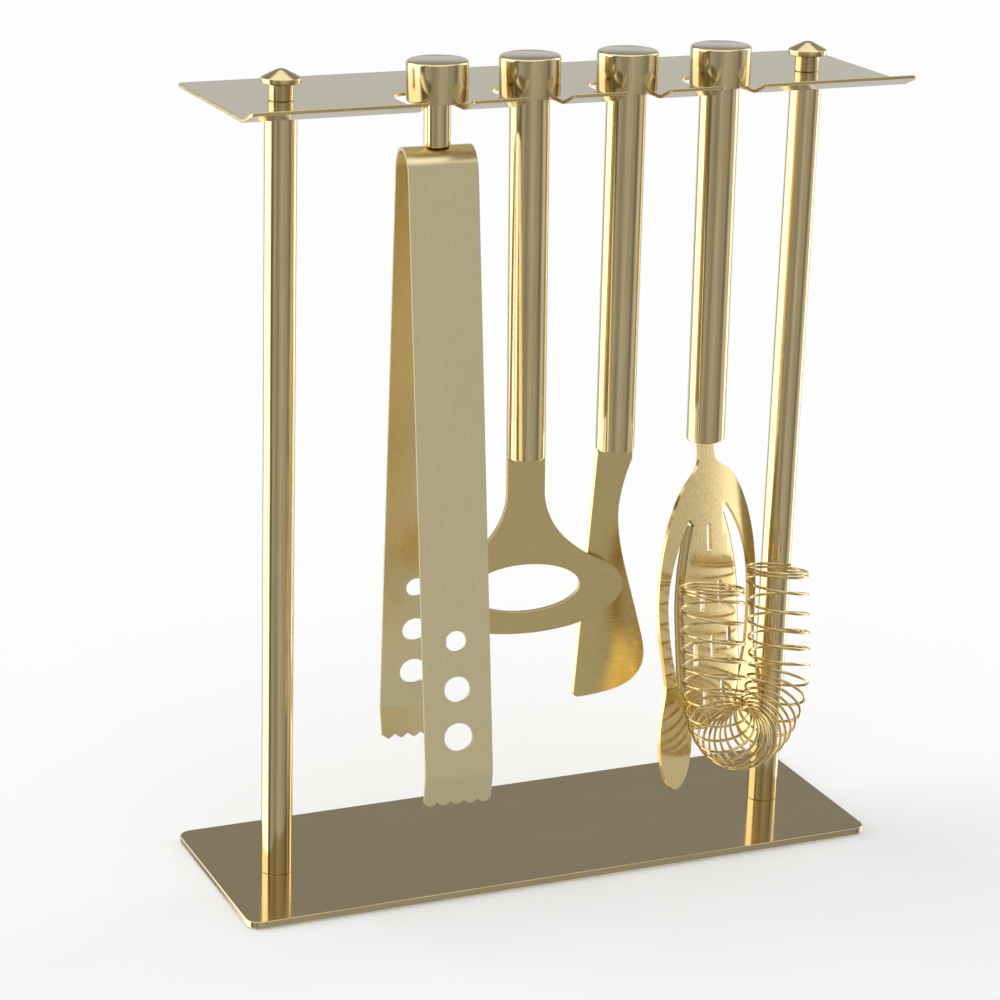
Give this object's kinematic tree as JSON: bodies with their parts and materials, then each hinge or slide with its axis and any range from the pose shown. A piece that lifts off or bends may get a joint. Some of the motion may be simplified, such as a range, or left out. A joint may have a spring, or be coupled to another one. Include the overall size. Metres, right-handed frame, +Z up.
{
  "type": "bar tool set",
  "caption": "Slim bar tools with round knobs hang by their heads from a slotted shelf on a two-post stand: ice tongs, bottle opener, bar knife and coil strainer.",
  "frame": {"origin": "middle of the base plate's underside", "axes": "+Z up, +X along the stand towards the strainer, -Y is the front, where the tools hang"},
  "size_m": [0.24, 0.1006, 0.29],
  "materials": {
    "satin_sheet": "brushed gold-tone sheet metal, satin",
    "polished_turned": "gold-tone plated round stock, polished with fine lengthwise lines",
    "bright_pressed": "gold-tone plated pressing, bright",
    "spring_wire": "gold-tone plated round wire",
    "plain_steel": "plain steel, hidden fastenings"
  },
  "bodies": {
    "stand": {"base_plate": "satin_sheet", "base_screw_left": "plain_steel", "base_screw_right": "plain_steel", "upright_left": "polished_turned", "upright_right": "polished_turned", "top_plate": "satin_sheet", "finial_stud_left": "plain_steel", "finial_stud_right": "plain_steel", "finial_left": "polished_turned", "finial_right": "polished_turned"},
    "tongs_knob": {"tongs_knob": "polished_turned"},
    "tongs_handle": {"tongs_stem": "polished_turned", "tongs_rivet": "plain_steel", "tongs_bow": "satin_sheet"},
    "tongs_front": {"tongs_arm_front": "satin_sheet"},
    "tongs_back": {"tongs_arm_back": "satin_sheet"},
    "opener_knob": {"opener_knob": "polished_turned"},
    "opener_handle": {"opener_shaft": "polished_turned", "opener_plug": "plain_steel", "opener_blade": "satin_sheet"},
    "knife_knob": {"knife_knob": "polished_turned"},
    "knife_handle": {"knife_shaft": "polished_turned", "knife_plug": "plain_steel", "knife_blade": "satin_sheet"},
    "strainer_knob": {"strainer_knob": "polished_turned"},
    "strainer_handle": {"strainer_shaft": "polished_turned", "strainer_plug": "plain_steel", "strainer_plate": "bright_pressed"},
    "strainer_spring": {"strainer_spring": "spring_wire"}
  },
  "joints": [
    {"name": "tongs_lift", "type": "slide", "parent": "stand", "child": "tongs_knob", "axis": [-0.0201, 0, 0.9998], "range_m": [0, 0.009]},
    {"name": "tongs_turn", "type": "hinge", "parent": "tongs_knob", "child": "tongs_handle", "pos_m": [-0.049, -0.019, 0.27651], "axis": [-0.0201, 0, 0.9998], "range_deg": [-5, 5]},
    {"name": "tongs_squeeze_front", "type": "hinge", "parent": "tongs_handle", "child": "tongs_front", "pos_m": [-0.04972, -0.02746, 0.25332], "axis": [0.9901, -0.1392, 0.0199], "range_deg": [0, 5.7], "stiffness_Nm_per_rad": 4.5},
    {"name": "tongs_squeeze_back", "type": "hinge", "parent": "tongs_handle", "child": "tongs_back", "pos_m": [-0.04735, -0.01055, 0.25337], "axis": [0.9901, -0.1392, 0.0199], "range_deg": [-5.7, 0], "stiffness_Nm_per_rad": 4.5},
    {"name": "opener_lift", "type": "slide", "parent": "stand", "child": "opener_knob", "axis": [-0.0237, 0, 0.9997], "range_m": [0, 0.025]},
    {"name": "opener_turn", "type": "hinge", "parent": "opener_knob", "child": "opener_handle", "pos_m": [-0.0161, -0.019, 0.27654], "axis": [-0.0237, 0, 0.9997], "range_deg": [-14, 0]},
    {"name": "knife_lift", "type": "slide", "parent": "stand", "child": "knife_knob", "axis": [-0.0105, 0, 0.9999], "range_m": [0, 0.025]},
    {"name": "knife_turn", "type": "hinge", "parent": "knife_knob", "child": "knife_handle", "pos_m": [0.0192, -0.019, 0.27641], "axis": [-0.0105, 0, 0.9999], "range_deg": [-15, 0]},
    {"name": "strainer_lift", "type": "slide", "parent": "stand", "child": "strainer_knob", "axis": [-0.014, 0, 0.9999], "range_m": [0, 0.025]},
    {"name": "strainer_turn", "type": "hinge", "parent": "strainer_knob", "child": "strainer_handle", "pos_m": [0.05395, -0.019, 0.27644], "axis": [-0.014, 0, 0.9999], "range_deg": [-8, 8]},
    {"name": "strainer_spring_press", "type": "slide", "parent": "strainer_handle", "child": "strainer_spring", "axis": [-0.0555, 0.0665, 0.9962], "range_m": [0, 0.004], "stiffness_N_per_m": 300, "deforming": ["strainer_spring"]}
  ],
  "couplings": [
    {"joint": "tongs_squeeze_back", "follows": "tongs_squeeze_front", "ratio": -1}
  ]
}
